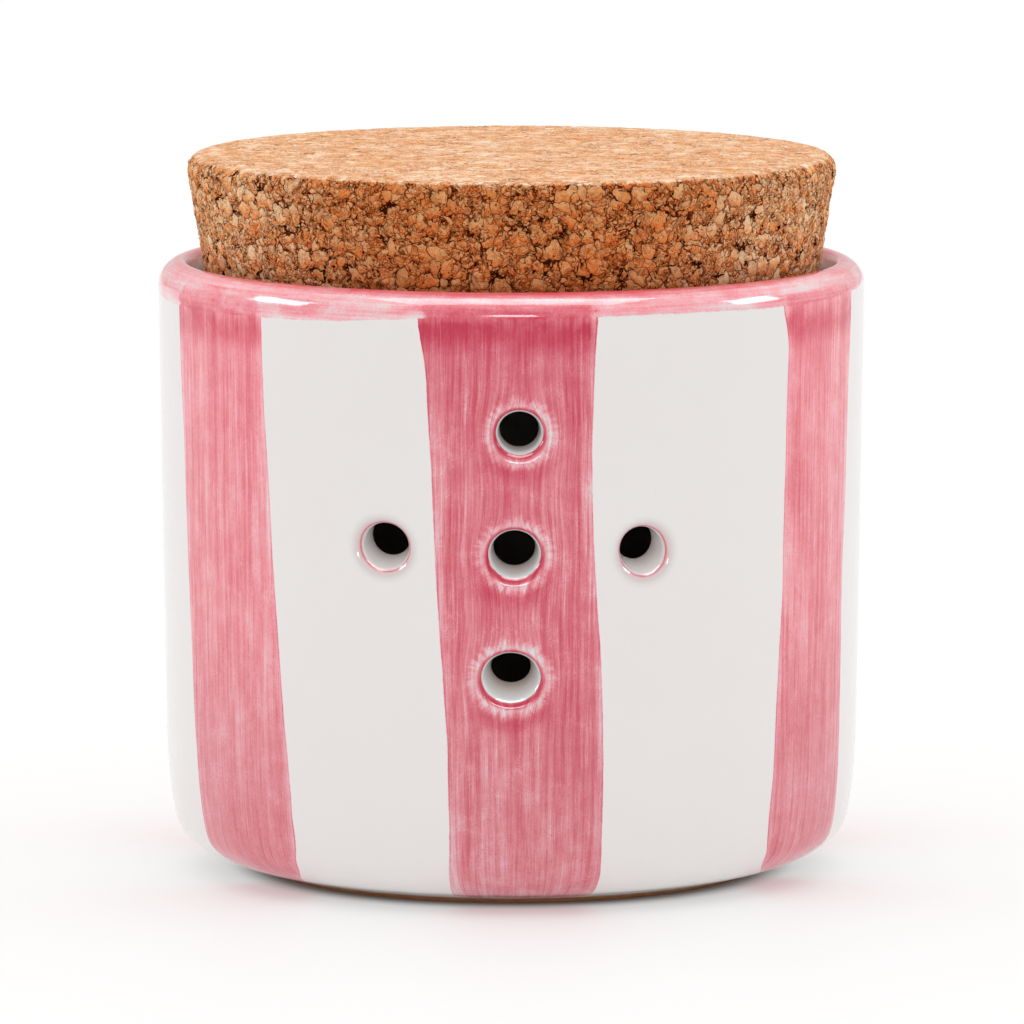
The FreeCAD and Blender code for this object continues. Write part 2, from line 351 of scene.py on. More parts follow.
def build_jar():
    verts, az_l, z_l, s_l, kind_l = [], [], [], [], []
    vr_l, vc_l, vs_l, vp_l = [], [], [], []

    def put(p, az, z, s, kind, v=None):
        verts.append(p)
        az_l.append(az)
        z_l.append(z)
        s_l.append(s)
        kind_l.append(kind)
        r, c, sn, pk = v if v is not None else (99.0, 0.0, 0.0, 0.0)
        vr_l.append(r)
        vc_l.append(c)
        vs_l.append(sn)
        vp_l.append(pk)
        return len(verts) - 1

    # where each vent's patches lie in the grid
    patches = []
    cut = set()          # (row, column) of the cells that a patch replaces
    gone = set()         # and of the vertices
    for az, z, d_az, slope, r_in, r_out, oval, edge in VENTS:
        a, d, s = az * DEG, d_az * DEG, slope * DEG
        r = wall_radius(z)
        mid = np.array([r * math.sin(a), -r * math.cos(a), z])
        inw = np.array([-math.sin(d) * math.cos(s), math.cos(d) * math.cos(s), math.sin(s)])
        right = np.cross(inw, [0, 0, 1.0])
        right /= np.linalg.norm(right)
        up = np.cross(right, inw)
        p_in = mid + inw * 5.4
        az_in = math.degrees(math.atan2(p_in[0], -p_in[1]))
        io = int(round((z - WALL_LOW[1]) / (WALL_TOP[1] - WALL_LOW[1]) * 70 - PH / 2.0)) + i_wall0
        jo = int(round((az + 180.0) / COL - PW / 2.0))
        ii = int(round((INNER_TOP[1] - p_in[2]) / (INNER_TOP[1] - INNER_LOW[1]) * 58 - PH / 2.0)) + i_in0
        ji = int(round((az_in + 180.0) / COL - PW / 2.0))
        outer = boundary(lambda k: io + k, jo)
        inner = boundary(lambda k: ii + PH - k, ji)
        for k in range(PH):
            for c in range(PW):
                cut.add((io + k, jo + c))
                cut.add((ii + k, ji + c))
        for k in range(1, PH):
            for c in range(1, PW):
                gone.add((io + k, jo + c))
                gone.add((ii + k, ji + c))
        patches.append((mid, inw, right, up, outer, inner))

    index = {}
    for i, (r, z) in enumerate(rows):
        kind = 0 if i <= i_crest else 1
        if r < 1e-6:
            index[i, 0] = put((0.0, 0.0, z), 0.0, z, crest_s_row[i], kind)
            continue
        for j in range(NC):
            if (i, j) in gone:
                continue
            a = az_cols[j] * DEG
            index[i, j] = put((r * math.sin(a), -r * math.cos(a), z), az_cols[j], z, crest_s_row[i], kind)
    faces = []
    for i in range(NR - 1):
        for j in range(NC):
            if (i, j) in cut:
                continue
            k = (j + 1) % NC
            if i == 0:
                faces.append((index[0, 0], index[1, k], index[1, j]))
            elif i == NR - 2:
                faces.append((index[i, j], index[i, k], index[NR - 1, 0]))
            else:
                faces.append((index[i, j], index[i, k], index[i + 1, k], index[i + 1, j]))

    outlines = []
    for n, (az0, z0, d_az, slope, r_in, r_out, oval, edge) in enumerate(VENTS):
        mid, inw, right, up, outer, inner = patches[n]
        pink = 1.0 if n < 3 else 0.0
        grow = (r_in - r_out) / 6.0
        outer_id = [index[i, j % NC] for i, j in outer]
        inner_id = [index[i, j % NC] for i, j in inner]
        # directions round the hole's axis, half way between even and straight out to the grid's points
        want = []
        for v in outer_id:
            q = np.array(verts[v]) - mid
            want.append(math.atan2((q @ up) / oval, q @ right))
        want = np.unwrap(want)
        even = want.mean() + (np.arange(PN) - (PN - 1) / 2.0) * 2 * math.pi / PN
        phi = 0.5 * want + 0.5 * even

        def at(s, t, e):
            return mid + inw * t + e * s

        def surface_t(s, e, radius_of, t):
            # where, at distance s from the axis, the surface of revolution is met
            for _ in range(12):
                p = at(s, t, e)
                f = math.hypot(p[0], p[1]) - radius_of(p[2])
                p2 = at(s, t + 1e-4, e)
                f2 = math.hypot(p2[0], p2[1]) - radius_of(p2[2])
                t -= f / ((f2 - f) / 1e-4)
            return t

        def corner(ph, radius_of, t, sign):
            """Where the hole meets a wall: the point, and the directions away along the wall and along the hole."""
            e = right * math.cos(ph) + up * (oval * math.sin(ph))
            for _ in range(20):
                t = surface_t(r_out + grow * t, e, radius_of, t)
            h = r_out + grow * t
            K = at(h, t, e)
            rr = math.hypot(K[0], K[1])
            tilt = (radius_of(K[2] + 0.01) - radius_of(K[2] - 0.01)) / 0.02
            n1 = np.array([K[0] / rr, K[1] / rr, -tilt])
            n1 /= np.linalg.norm(n1)
            round_it = h * (up * (oval * math.cos(ph)) - right * math.sin(ph))
            n2 = np.cross(round_it, inw + grow * e)
            n2 /= np.linalg.norm(n2)
            tau = np.cross(n1, n2)
            tau /= np.linalg.norm(tau)
            a_dir = np.cross(tau, n1)
            a_dir *= 1.0 if a_dir @ e > 0 else -1.0
            b_dir = np.cross(tau, n2)
            b_dir *= 1.0 if (b_dir @ inw) * sign > 0 else -1.0
            return K, a_dir, b_dir

        rings = []          # each a list of (point, az, z, vent distance)
        NF, NT, NB = 12, 5, 4
        per = []
        for k in range(PN):
            # corner of hole and outer wall
            K, a_dir, b_dir = corner(phi[k], wall_radius, 0.0, 1.0)
            theta = math.acos(max(-1, min(1, a_dir @ b_dir)))
            T = edge / math.tan(theta / 2)
            c = K + (a_dir + b_dir) / np.linalg.norm(a_dir + b_dir) * edge / math.sin(theta / 2)
            v0, v1 = K + a_dir * T - c, K + b_dir * T - c
            turn = math.pi - theta
            line = []
            for q in range(NF + 1):
                w = q / NF
                v = (v0 * math.sin((1 - w) * turn) + v1 * math.sin(w * turn)) / math.sin(turn)
                line.append((c + v, edge * turn * (0.62 - w)))
            # corner of hole and inner wall
            K2, a2, b2 = corner(phi[k], inner_radius, 5.4, -1.0)
            theta2 = math.acos(max(-1, min(1, a2 @ b2)))
            T2 = VENT_INNER_EDGE / math.tan(theta2 / 2)
            p_a, p_b = K + b_dir * T, K2 + b2 * T2
            base = -edge * turn * 0.38
            for q in range(1, NT + 1):
                p = p_a + (p_b - p_a) * q / NT
                line.append((p, base - np.linalg.norm(p - p_a)))
            c2 = K2 + (a2 + b2) / np.linalg.norm(a2 + b2) * VENT_INNER_EDGE / math.sin(theta2 / 2)
            w0, w1 = p_b - c2, K2 + a2 * T2 - c2
            turn2 = math.pi - theta2
            for q in range(1, NB + 1):
                w = q / NB
                v = (w0 * math.sin((1 - w) * turn2) + w1 * math.sin(w * turn2)) / math.sin(turn2)
                line.append((c2 + v, base - 8.0))
            per.append(line)
        # outer patch, from the grid in to the rounding
        ring0 = []
        for k in range(PN):
            p = per[k][0][0]
            ring0.append((math.degrees(math.atan2(p[0], -p[1])), p[2]))
        reach = [math.hypot((a - az0) * DEG * R0, z - z0) for a, z in ring0]
        ang = np.unwrap([math.atan2(z - z0, (a - az0) * DEG * R0) for a, z in ring0])
        half = per[0][0][1]
        outlines.append((az0, z0, ang, np.array(reach), np.array([per[k][0][1] for k in range(PN)]), pink))
        ids = [outer_id]
        for w in (0.15, 0.31, 0.47, 0.62, 0.75, 0.86, 0.94):
            ring = []
            for k in range(PN):
                v = outer_id[k]
                az = az_l[v] + (ring0[k][0] - az_l[v]) * w
                z = z_l[v] + (ring0[k][1] - z_l[v]) * w
                r = wall_radius(z)
                gap = math.hypot((az - ring0[k][0]) * DEG * R0, z - ring0[k][1])
                s = np.interp(z, rows[i_wall0:i_wall1 + 1, 1], crest_s_row[i_wall0:i_wall1 + 1])
                ring.append(put((r * math.sin(az * DEG), -r * math.cos(az * DEG), z), az, z, s, 0,
                                (per[k][0][1] + gap, math.cos(phi[k]), math.sin(phi[k]), pink)))
            ids.append(ring)
        for q in range(len(per[0])):
            ring = []
            for k in range(PN):
                p, dist = per[k][q]
                az = math.degrees(math.atan2(p[0], -p[1]))
                s = np.interp(p[2], rows[i_wall0:i_wall1 + 1, 1], crest_s_row[i_wall0:i_wall1 + 1])
                ring.append(put(tuple(p), az, p[2], s, 2, (dist, math.cos(phi[k]), math.sin(phi[k]), pink)))
            ids.append(ring)
        last = ids[-1]
        for w in (0.12, 0.3, 0.52, 0.76):
            ring = []
            for k in range(PN):
                v, u = last[k], inner_id[k]
                az = az_l[v] + (az_l[u] - az_l[v]) * w
                z = z_l[v] + (z_l[u] - z_l[v]) * w
                r = inner_radius(z)
                ring.append(put((r * math.sin(az * DEG), -r * math.cos(az * DEG), z), az, z, -60.0, 1))
            ids.append(ring)
        ids.append(inner_id)
        for one, two in zip(ids[:-1], ids[1:]):
            for k in range(PN):
                k2 = (k + 1) % PN
                faces.append((one[k], one[k2], two[k2], two[k]))

    P = np.array(verts)
    az = np.array(az_l)
    z = np.array(z_l)
    s = np.array(s_l)
    kind = np.array(kind_l)
    vr, vc, vs, vp = (np.array(x) for x in (vr_l, vc_l, vs_l, vp_l))
    # the vents' fields on the plain grid around the patches
    plain = vr > 50
    for az0, z0, ang, reach, half, pink in outlines:
        u = (az - az0) * DEG * R0
        dz = z - z0
        dist = np.hypot(u, dz)
        near = plain & (kind == 0) & (dist < 14) & (s > 6)
        if not near.any():
            continue
        a = np.arctan2(dz[near], u[near])
        order = np.argsort(np.mod(ang, 2 * math.pi))
        xa = np.mod(ang, 2 * math.pi)[order]
        lim = np.interp(np.mod(a, 2 * math.pi), xa, reach[order], period=2 * math.pi)
        hf = np.interp(np.mod(a, 2 * math.pi), xa, half[order], period=2 * math.pi)
        value = dist[near] - lim + hf
        closer = value < vr[near]
        vr[near] = np.where(closer, value, vr[near])
        vc[near] = np.where(closer, np.cos(a), vc[near])
        vs[near] = np.where(closer, np.sin(a), vs[near])
        vp[near] = np.where(closer, pink, vp[near])
    vr = np.minimum(vr, 30.0)
    return P, faces, az, z, s, kind, vr, vc, vs, vp


P, faces, az, z, s, kind, vr, vc, vs, vp = build_jar()

# ---- painted stripes: edges as (height, azimuth) --------------------
STRIPES = [
    # left edge, right edge, how much colour has pooled at the top, how dense; the front stripes' densities are partly
    # painted light and shade, the middle one darker and the two beside it paler
    ([(96, -68.4), (88, -68.1), (76, -67.2), (64, -66.7), (51, -66.0), (39, -65.3), (31, -64.9), (23, -64.2),
      (15, -63.8), (8, -63.6), (3, -63.2)],
     [(99, -43.8), (93, -43.7), (84, -43.4), (72, -42.6), (60, -42.0), (49, -41.2), (41, -40.6), (32, -39.9),
      (24, -39.1), (16, -38.7), (8.3, -39.0), (5, -40.6), (3, -43.5)], 0.45, -0.035),
    ([(99, -14.9), (96, -14.4), (92, -13.8), (85, -13.4), (74, -12.8), (66, -12.5), (54, -12.0), (42, -11.2),
      (34, -10.7), (30, -10.4), (22, -10.3), (14, -10.2), (9.4, -10.4), (5.2, -10.8), (3, -11.2)],
     [(99, 13.7), (94, 13.35), (87, 13.1), (78, 12.9), (70, 13.0), (60, 13.35), (50, 14.0), (42, 14.55),
      (34, 14.85), (22, 14.95), (10, 15.0), (5.7, 15.2), (3, 15.5)], 1.0, 0.12),
    ([(99, 48.9), (97, 49.6), (94, 50.1), (85, 50.0), (74, 49.85), (62, 49.6), (49, 49.45), (42, 49.0),
      (33, 48.5), (21, 48.0), (13, 47.7), (8.8, 48.3), (5, 50.5), (3, 55.0)],
     [(99, 72.2), (94, 72.1), (86, 71.5), (75, 71.0), (62, 70.5), (55, 69.9), (46, 69.8), (38, 69.9),
      (27, 69.9), (17, 70.1), (9, 70.7), (3, 70.9)], 0.5, -0.01),
    ([(99, 106.5), (90, 107.0), (74, 107.9), (60, 107.4), (44, 106.6), (30, 106.2), (14, 106.9), (3, 107.6)],
     [(99, 132.1), (88, 131.5), (70, 131.0), (52, 131.9), (36, 132.6), (20, 132.2), (3, 131.8)], 0.6, 0.05),
    ([(99, 165.0), (86, 165.8), (68, 166.3), (50, 165.6), (32, 164.7), (16, 164.9), (3, 165.6)],
     [(99, 191.6), (90, 191.0), (72, 190.3), (54, 190.9), (38, 191.9), (20, 192.3), (3, 191.8)], 0.8, 0.08),
    ([(99, 227.8), (84, 227.2), (66, 226.5), (48, 226.9), (30, 227.8), (14, 228.2), (3, 227.9)],
     [(99, 253.0), (88, 253.5), (70, 254.2), (52, 253.7), (34, 252.9), (16, 252.5), (3, 252.9)], 0.55, 0.04),
]
# the lower ends of the stripes, as distance from the crest along the outside
z_end = 1.58
s_end = float(np.interp(z_end, rows[40:i_wall0 + 1, 1], crest_s_row[40:i_wall0 + 1]))


def smooth_curve(points, zz):
    """Cubic through (height, azimuth) points, flat in slope past the ends."""
    q = sorted(points)
    x = np.array([a for a, _ in q])
    y = np.array([b for _, b in q])
    d = np.gradient(y, x)
    k = np.clip(np.searchsorted(x, zz) - 1, 0, len(x) - 2)
    h = x[k + 1] - x[k]
    t = np.clip((zz - x[k]) / h, 0, 1)
    return ((1 + 2 * t) * (1 - t) ** 2 * y[k] + t * (1 - t) ** 2 * h * d[k]
            + t * t * (3 - 2 * t) * y[k + 1] + t * t * (t - 1) * h * d[k + 1])


stripe = np.full(len(P), -50.0)
pool = np.zeros(len(P))
dense = np.zeros(len(P))
across = np.full(len(P), 0.5)
best = np.full(len(P), 1e9)
for left, right, pooled, extra in STRIPES:
    mid_az = 0.5 * (left[0][1] + right[0][1])
    a = mid_az + np.mod(az - mid_az + 180.0, 360.0) - 180.0
    e0, e1 = smooth_curve(left, z), smooth_curve(right, z)
    d_side = np.minimum(a - e0, e1 - a) * DEG * R0
    d_end = s_end - s
    rc = 2.6
    q0, q1 = rc - d_side, rc - d_end
    d = np.where((q0 > 0) & (q1 > 0), rc - np.hypot(q0, q1), np.minimum(d_side, d_end))
    d = np.where(kind == 1, -50.0, d)
    stripe = np.maximum(stripe, d)
    off = np.abs(a - mid_az)
    near = off < best
    best = np.where(near, off, best)
    pool = np.where(near, pooled, pool)
    dense = np.where(near, extra, dense)
    across = np.where(near, (a - e0) / (e1 - e0), across)
across = np.clip(across, -1.0, 2.0)

# ---- painted rim: the band's lower edge, as distance from the crest --
RIM_EDGE = [(-180, 6.2), (-160, 6.7), (-140, 7.3), (-120, 6.9), (-100, 6.8), (-76, 7.8), (-60, 7.9), (-42, 7.6),
            (-32, 7.4), (-25, 7.0), (-20, 6.6), (-14, 6.3), (0, 6.2), (16, 5.95), (24, 5.95), (34, 6.0), (42, 6.2),
            (52, 6.4), (66, 6.1), (76, 5.9), (82, 5.3), (100, 5.8), (120, 6.7), (140, 7.4), (160, 6.8), (180, 6.2)]
edge_at = np.interp(az, [a for a, _ in RIM_EDGE], [b for _, b in RIM_EDGE])
rim = edge_at - s

# ---- brush flow: streaks run down the wall and part round the vents --
u = az * DEG * R0
shift = np.zeros(len(P))
for az0, z0, *_ in VENTS[:3]:
    du = u - az0 * DEG * R0
    dz = z - z0
    rr = np.maximum(np.hypot(du, dz), 3.2)
    shift -= 10.0 * du / rr ** 2 * np.exp(-np.maximum(rr - 4.0, 0) / 5.0)
flow_az = (u + shift) / R0
flow = np.stack([np.sin(flow_az) * R0, -np.cos(flow_az) * R0, s], 1)

# ---- the hand-made wall is a little uneven: never outside the CAD -----
rad = np.hypot(P[:, 0], P[:, 1])
outside = (kind == 0) & (s > 1.0) & (P[:, 2] > 3.0)
fade = smooth01((s - 2.0) / 6.0) * smooth01((P[:, 2] - 3.0) / 6.0) * smooth01((vr - 1.9) / 6.0)
a = az * DEG
wob = (0.5 + 0.22 * np.sin(2 * a + 0.7 + 0.02 * z) + 0.13 * np.sin(3 * a - 1.1 + 0.05 * z)
       + 0.10 * np.sin(5 * a + 0.09 * z) + 0.05 * np.sin(9 * a + 0.13 * z + 2.0))
push = np.where(outside, -0.10 * wob * fade, 0.0)
P = P.copy()
P[:, 0] += push * np.sin(a)
P[:, 1] -= push * np.cos(a)

jar = mesh_object("stoneware_jar", P, faces,
                  {"stripe": stripe, "pool": pool, "dense": dense, "across": across, "rim": rim, "crest": s,
                   "vent": vr, "vent_c": vc, "vent_s": vs, "vent_pink": vp,
                   "inside": (kind == 1).astype(float)},
                  {"flow": flow})


# =====================================================================
# glaze, paint and bare clay
# =====================================================================
def glaze_material():
    mat, g, bsdf = new_material("painted_glaze")
    p = object_mm(g)
    px, py, pz = g.split(p)
    flow_v = g.attr("flow", True)
    fx, fy, fs = g.split(flow_v)
    stripe_d = g.attr("stripe")
    rim_d = g.attr("rim")
    crest = g.attr("crest")
    vent = g.attr("vent")
    vent_pink = g.attr("vent_pink")
    across_a = g.attr("across")
    inside = g.attr("inside")

    # --- brush streaks down the stripes
    def streaks(f, fz, detail=2.0, rough=0.55):
        return g.n1(g.xyz(g.mul(fx, f), g.mul(fy, f), g.mul(fs, fz)), 1.0, detail, rough)

    hair = streaks(2.6, 0.075, 2.0, 0.6)
    fine = streaks(1.15, 0.045, 2.0, 0.55)
    broad = streaks(0.34, 0.018, 2.0, 0.5)
    blotch = g.n1(flow_v, 0.075, 3.0, 0.55)
    cloud = g.n1(p, 0.32, 2.0, 0.5)
    grit = g.n1(p, 3.1, 3.0, 0.62, 0.4)
    curl = g.n1(p, 1.25, 2.0, 0.5, 1.6)

    # --- where the paint is
    ang_v = g.xyz(g.mul(px, 0.028), g.mul(py, 0.028), g.mul(crest, 1.15))
    stroke = g.n1(ang_v, 1.0, 3.0, 0.6, 0.3)
    stroke2 = g.n1(g.xyz(g.mul(px, 0.07), g.mul(py, 0.07), g.mul(crest, 0.38)), 1.0, 3.0, 0.55, 0.5)
    thread = g.n1(g.xyz(g.mul(px, 0.10), g.mul(py, 0.10), g.mul(crest, 3.4)), 1.0, 2.0, 0.6, 0.2)
    tooth = g.add(g.mul(grit, 0.05), g.mul(cloud, 0.10), g.mul(g.n1(p, 1.1, 3.0, 0.7), 0.07))
    in_stripe = g.step(g.add(stripe_d, tooth), -0.05, 0.07)
    rag_v = g.n1(g.xyz(g.mul(px, 0.55), g.mul(py, 0.55), g.mul(crest, 0.5)), 1.0, 3.0, 0.6)
    in_rim = g.mul(g.step(g.add(rim_d, g.mul(tooth, 2.3), g.mul(curl, 0.09), g.mul(rag_v, 0.13)), -0.10, 0.16),
                   g.step(g.add(crest, g.mul(stroke2, 1.1), g.mul(cloud, 0.5)), -2.9, -1.7))
    down = g.mad(in_rim, -0.88, 1.0)                   # no downward streaks under the rim's band
    dots = g.cells(g.xyz(g.mul(fx, 1.0), g.mul(fy, 1.0), g.mul(fs, 0.62)), 0.62)
    dot = g.mul(g.step(dots.outputs["Distance"], 0.20, 0.08), g.step(g.split(dots.outputs["Color"])[0], 0.55, 0.62))
    dot = g.mul(dot, g.mad(g.split(dots.outputs["Color"])[1], 2.0, -1.0))
    hairs = g.step(streaks(4.6, 0.16, 2.0, 0.5), 0.12, 0.42)
    lights = g.step(streaks(3.9, 0.12, 2.0, 0.5), -0.12, -0.42)

    worm_n = g.m("ABSOLUTE", g.n1(p, 1.5, 1.0, 0.5, 2.6))
    worm = g.mul(g.step(worm_n, 0.30, 0.02), g.step(g.n1(p, 0.30, 2.0, 0.5), -0.15, 0.45, 0.25, 1.0))
    v = g.add(g.mul(hair, 0.24), g.mul(fine, 0.34), g.mul(broad, 0.24), g.mul(hairs, 0.13), g.mul(lights, -0.15))
    pooled = g.attr("pool")
    v = g.mul(v, g.mad(pooled, 0.80, 0.40), g.step(crest, 8.0, 26.0, 0.95, 1.0), g.step(crest, 58.0, 90.0, 1.0, 0.72))
    # each stripe's own density, partly painted light and shade on the three front stripes
    d = g.add(0.585, g.mul(v, down), g.mul(blotch, 0.17), g.mul(cloud, 0.09), g.mul(grit, 0.09), g.mul(curl, 0.10),
              g.mul(dot, 0.12), g.mul(g.mad(pooled, 0.6, 0.4), worm, -0.19), g.attr("dense"))
    # thin paint along the sides of a stroke, with a fine line where it pooled
    side = g.step(g.mad(fine, 0.5, stripe_d), 0.1, 1.7, 1.0, 0.0)
    d = g.mad(side, -0.13, d)
    rimline = g.hump(g.mad(cloud, 0.08, stripe_d), -0.02, 0.16, 0.42)
    d = g.mad(rimline, 0.15, d)
    # colour pooled under the rim
    pool_n = g.add(g.mul(blotch, 1.3), g.mul(cloud, 0.9), g.mul(fine, 0.35))
    sp = g.mad(pool_n, 1.2, crest)
    # the middle stripe's darker tone is partly painted shade
    middle = g.step(pooled, 0.82, 0.95)                # 1 on the middle stripe, which is painted thickest
    pool_d = g.fmix(middle, g.mul(g.hump(sp, 5.6, 9.9, 14.6), 0.40), g.mul(g.hump(sp, 5.2, 8.2, 13.4), 0.58))
    d = g.mad(pool_d, g.step(pool_n, -1.1, 0.8, 0.36, 1.04), d)
    d = g.mad(g.hump(crest, 8.0, 13.0, 34.0), g.mad(middle, 0.09, -0.01), d)
    # paler towards the foot
    d = g.mad(g.step(crest, 60.0, 100.0), g.mad(pooled, -0.31, 0.23), d)
    d = g.mad(g.step(crest, 103.0, 112.0), -0.12, d)
    # the middle stripe is thinner along its left side, and a little on its right
    d = g.add(d, g.mul(middle, g.step(across_a, 0.18, 0.0), -0.11), g.mul(middle, g.step(across_a, 0.90, 1.0), -0.04),
              g.mad(middle, 0.018, -0.018))

    # --- the vents: bare ring of white inside, dense line, thin halo with brush hairs
    vc_, vs_ = g.attr("vent_c"), g.attr("vent_s")
    ray_v = g.xyz(g.mul(vc_, 8.5), g.mul(vs_, 8.5), g.mad(vent, 0.28, g.mul(cloud, 0.9)))
    rays = g.n1(ray_v, 1.0, 3.0, 0.65)
    rag = g.n1(g.xyz(g.mul(vc_, 2.4), g.mul(vs_, 2.4), g.mul(pz, 0.3)), 1.0, 3.0, 0.55)
    low = g.step(vs_, -0.9, 0.6, 1.0, 0.0)          # 1 below the hole, 0 above
    vr_ = g.mad(rag, g.mad(low, 0.10, 0.05), vent)
    ring = g.mul(g.hump(g.mad(low, -0.30, vr_), -0.40, 0.10, 0.75), g.step(vr_, -0.14, 0.02), g.mad(low, 0.95, 0.45))
    halo_out = g.add(3.05, g.mul(rays, 2.0), g.mul(cloud, 0.7), g.mul(low, 0.1))
    halo = g.mul(g.step(g.add(g.mul(curl, 0.25), vr_, g.mul(low, -0.45)), 0.35, 1.05), g.step(vent, g.mul(halo_out, 0.35), halo_out, 1.0, 0.0))
    below = g.mul(g.hump(vent, 2.1, 3.4, 6.2), g.step(vs_, -0.98, -0.35, 1.0, 0.0))
    on_pink = vent_pink
    d = g.add(d, g.mul(g.mul(ring, on_pink), 0.30), g.mul(g.mul(halo, on_pink), g.mad(rays, -0.27, -0.42)),
              g.mul(g.mul(below, on_pink), g.mad(cloud, 0.12, 0.20)))

    # --- the painted rim
    r = g.add(0.385, g.mul(stroke, 0.32), g.mul(stroke2, 0.34), g.mul(thread, 0.15), g.mul(cloud, 0.12),
              g.mul(grit, 0.08), g.mul(curl, 0.14), g.mul(worm, -0.11))
    r = g.mad(g.hump(g.mad(stroke2, 0.5, crest), -2.0, 0.5, 2.9), g.mad(middle, 0.16, 0.16), r)
    r = g.mad(g.step(crest, 3.6, 6.6), -0.12, r)

    not_hole = g.step(vr_, -0.10, -0.02)
    under = g.mul(g.step(g.add(stripe_d, g.mul(stroke2, 2.2), g.mul(cloud, 1.2), g.mul(curl, 0.6)), -1.1, 1.3),
                  g.step(g.add(crest, g.mul(stroke2, 1.5), g.mul(stroke, 0.8)), 1.2, 4.8))
    in_band = g.fmix(in_rim, in_stripe, under)
    both = g.mul(in_band, in_rim)
    stripe_part = g.mul(d, in_band)
    rim_part = g.mul(r, in_rim)
    total = g.m("MAXIMUM", stripe_part, rim_part)
    total = g.add(total, g.mul(both, g.add(g.fmix(middle, g.step(crest, 4.2, 8.0, -0.12, 0.12), g.step(crest, 2.2, 6.0, 0.02, 0.07)),
                                            g.mul(stroke, 0.20), g.mul(stroke2, 0.34), g.mul(curl, 0.10))))
    # the two vents on white keep only a thin line of colour round the edge
    on_white = g.mul(g.sub(1.0, on_pink), g.step(vent, 6.0, 5.0))
    thin = g.mul(g.hump(g.mad(rag, 0.08, vent), -0.26, 0.02, 0.44), g.mad(rays, 0.12, 0.46))
    blush = g.mul(g.step(vent, 1.9, 0.15), g.step(vent, -0.25, 0.1), g.mad(rays, 0.05, 0.10))
    total = g.mul(total, not_hole)
    total = g.add(total, g.mul(on_white, g.add(thin, blush)))
    total = g.m("MAXIMUM", total, 0.0)

    paint = g.ramp(g.mul(total, 1.0 / 1.2), [
        (0.0, (0.872, 0.841, 0.832, 1)),
        (0.125, (0.925, 0.670, 0.690, 1)),
        (0.25, (0.975, 0.470, 0.512, 1)),
        (0.35, (0.975, 0.345, 0.398, 1)),
        (0.45, (0.915, 0.243, 0.290, 1)),
        (0.56, (0.830, 0.170, 0.216, 1)),
        (0.71, (0.755, 0.088, 0.142, 1)),
        (0.90, (0.680, 0.030, 0.078, 1)),
        (1.0, (0.630, 0.012, 0.056, 1)),
    ])
    paint = g.mix(g.mul(in_band, middle, g.step(crest, 4.0, 8.0, 0.15, 1.0)), paint,
                  g.mix(1.0, paint, (0.885, 0.975, 0.985, 1), "MULTIPLY"))
    paint = g.mix(g.mul(in_stripe, g.sub(1.0, middle), g.step(crest, 16.0, 50.0)), paint,
                  g.mix(1.0, paint, (0.965, 1.0, 1.0, 1), "MULTIPLY"))
    paint = g.mix(g.mul(in_stripe, g.step(crest, 52.0, 92.0)), paint,
                  g.mix(1.0, paint, g.mix(middle, (0.89, 0.99, 0.99, 1), (0.94, 1.0, 0.99, 1)), "MULTIPLY"))
    paint = g.mix(g.mul(g.step(total, 0.2, 0.5), g.hump(crest, -2.6, 0.6, 5.0)), paint,
                  g.mix(1.0, paint, (0.99, 0.0, 0.165, 1), "LIGHTEN"))
    # white glaze is never quite even
    warm = g.mul(g.step(g.n1(p, 0.045, 3.0, 0.55), -0.6, 0.8), 0.5)
    paint = g.mix(warm, paint, g.mix(1.0, paint, (0.985, 0.975, 0.965, 1), "MULTIPLY"))
    specks = g.cells(p, 0.42)
    speck = g.mul(g.step(specks.outputs["Distance"], 0.045, 0.02), g.step(g.split(specks.outputs["Color"])[0], 0.90, 0.94))
    paint = g.mix(g.mul(speck, 0.25), paint, lin(150, 118, 100))
    # inside, a thinner coat lets the clay through
    inner_col = g.mix(g.step(g.n1(p, 0.11, 4.0, 0.6), -0.5, 0.7), (0.50, 0.455, 0.415, 1), (0.57, 0.525, 0.480, 1))
    # painted shade: the vents' tunnels are painted darker and warmer deeper in
    painted_tunnel_shade = g.mul(g.step(vent, -1.9, -5.2), g.step(vent, 20.0, 10.0), g.sub(1.0, inside))
    # round the edge of the two vents on white the thin line is muted, and the glaze is painted darker and greyer as
    # painted shade
    paint = g.mix(g.mul(on_white, g.hump(vent, -0.40, 0.10, 2.6)), paint,
                  g.mix(1.0, paint, (0.80, 0.83, 0.82, 1), "MULTIPLY"))
    # painted shade: the vents' walls are painted warm grey from just inside the edge, and darker brown deeper in
    paint = g.mix(g.mul(g.step(vent, -0.4, -2.2), g.sub(1.0, inside), g.mad(on_pink, 0.60, 0.15)), paint,
                  (0.70, 0.625, 0.595, 1))
    paint = g.mix(g.mul(painted_tunnel_shade, g.mad(on_pink, 0.45, 0.40)), paint, (0.46, 0.365, 0.325, 1))
    deep = g.mul(inside, g.step(crest, -1.9, -4.2))
    # painted shade: the inside is painted darker and browner near the mouth, under the lid
    inner_col = g.mix(g.step(crest, -24.0, -11.0), inner_col, (0.34, 0.275, 0.245, 1))
    paint = g.mix(deep, paint, inner_col)
